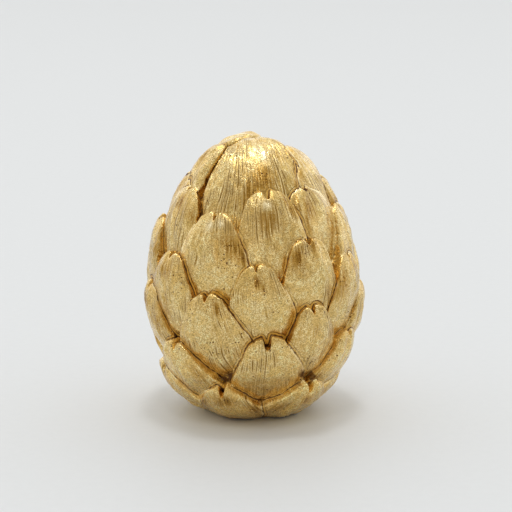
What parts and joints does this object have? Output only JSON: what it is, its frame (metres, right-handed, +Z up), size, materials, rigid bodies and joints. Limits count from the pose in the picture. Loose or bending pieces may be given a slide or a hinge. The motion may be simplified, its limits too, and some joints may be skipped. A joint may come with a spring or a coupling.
{
  "type": "artichoke ornament",
  "caption": "Egg-shaped artichoke ornament of overlapping fleshy bracts with notched tips, in antique gold, standing on a small flat underside.",
  "frame": {"origin": "middle of the flat underside, on the surface that the ornament stands on", "axes": "+Z up through the top of the bud, -Y towards the front that the picture shows, +X to its right"},
  "size_m": [0.0843, 0.0841, 0.1069],
  "materials": {
    "gilt_resin": "satin antique gold paint over cast resin, with a brown glaze left in the creases"
  },
  "bodies": {
    "root": {"artichoke": "gilt_resin"}
  },
  "joints": []
}
